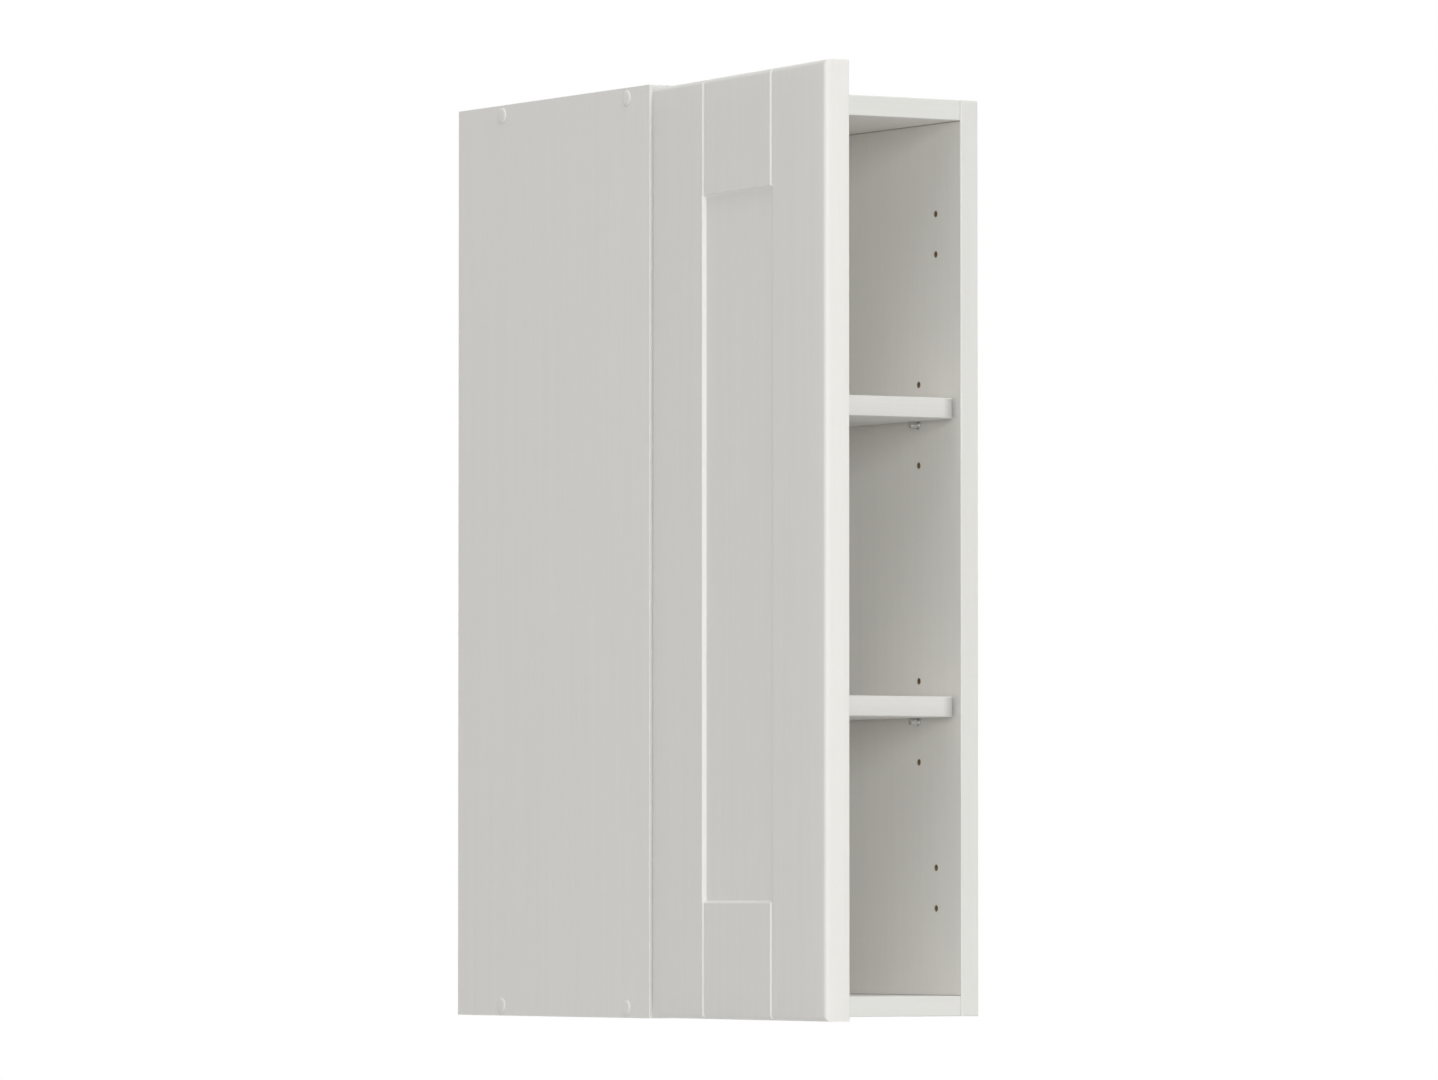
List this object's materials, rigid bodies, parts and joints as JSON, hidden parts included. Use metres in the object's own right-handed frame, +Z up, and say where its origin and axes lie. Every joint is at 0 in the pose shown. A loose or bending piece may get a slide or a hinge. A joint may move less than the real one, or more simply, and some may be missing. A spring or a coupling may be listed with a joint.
{
  "type": "wall cabinet",
  "caption": "Narrow wall cabinet with a hinged grooved-panel door, loose shelves on pins and concealed wall hangers, for storing goods above a worktop.",
  "frame": {"origin": "centre of the back panel's rear face, which lies on the wall", "axes": "+Z up, +Y into the wall, +X to the right seen from the front"},
  "size_m": [0.3256, 0.6012, 0.72],
  "materials": {
    "carcass_board": "matt light grey laminate with fine grain on chipboard",
    "door_front": "matt light grey foil with fine grain on fibreboard",
    "back_board": "light grey lacquered hardboard",
    "pin_steel": "nickel plated",
    "screw_steel": "zinc plated",
    "hinge_steel": "nickel plated",
    "cap_plastic": "matt light grey",
    "hanger_plastic": "matt off-white",
    "cover_plastic": "satin off-white"
  },
  "bodies": {
    "carcass": {"left_side": "carcass_board", "right_side": "carcass_board", "top_panel": "carcass_board", "bottom_panel": "carcass_board", "back_panel": "back_board", "lower_shelf": "carcass_board", "upper_shelf": "carcass_board", "shelf_pin_lower_left_front": "pin_steel", "shelf_pin_lower_left_rear": "pin_steel", "shelf_pin_lower_right_front": "pin_steel", "shelf_pin_lower_right_rear": "pin_steel", "shelf_pin_upper_left_front": "pin_steel", "shelf_pin_upper_left_rear": "pin_steel", "shelf_pin_upper_right_front": "pin_steel", "shelf_pin_upper_right_rear": "pin_steel", "connector_screw_left_top_front": "screw_steel", "connector_screw_left_top_rear": "screw_steel", "connector_screw_left_bottom_front": "screw_steel", "connector_screw_left_bottom_rear": "screw_steel", "connector_screw_right_top_front": "screw_steel", "connector_screw_right_top_rear": "screw_steel", "connector_screw_right_bottom_front": "screw_steel", "connector_screw_right_bottom_rear": "screw_steel", "cover_cap_left_top_front": "cap_plastic", "cover_cap_left_top_rear": "cap_plastic", "cover_cap_left_bottom_front": "cap_plastic", "cover_cap_left_bottom_rear": "cap_plastic", "cover_cap_right_top_front": "cap_plastic", "cover_cap_right_top_rear": "cap_plastic", "cover_cap_right_bottom_front": "cap_plastic", "cover_cap_right_bottom_rear": "cap_plastic", "hanger_case_left": "hanger_plastic", "hanger_case_right": "hanger_plastic", "hanger_cover_left": "cover_plastic", "hanger_cover_right": "cover_plastic", "hanger_hook_left": "screw_steel", "hanger_hook_right": "screw_steel", "hanger_height_screw_left": "screw_steel", "hanger_height_screw_right": "screw_steel", "hanger_depth_screw_left": "screw_steel", "hanger_depth_screw_right": "screw_steel", "hinge_plate_lower": "hinge_steel", "hinge_plate_upper": "hinge_steel", "hinge_arm_lower": "hinge_steel", "hinge_arm_upper": "hinge_steel", "hinge_clamp_screw_lower": "screw_steel", "hinge_clamp_screw_upper": "screw_steel", "hinge_side_screw_lower": "screw_steel", "hinge_side_screw_upper": "screw_steel"},
    "door": {"door_panel": "door_front", "hinge_cup_lower": "hinge_steel", "hinge_cup_upper": "hinge_steel", "hinge_pin_lower": "screw_steel", "hinge_pin_upper": "screw_steel"}
  },
  "joints": [
    {"name": "door_hinge", "type": "hinge", "parent": "carcass", "child": "door", "pos_m": [-0.141, -0.3124, 0], "axis": [0, 0, -1], "range_deg": [-94.6, 5.4]}
  ]
}
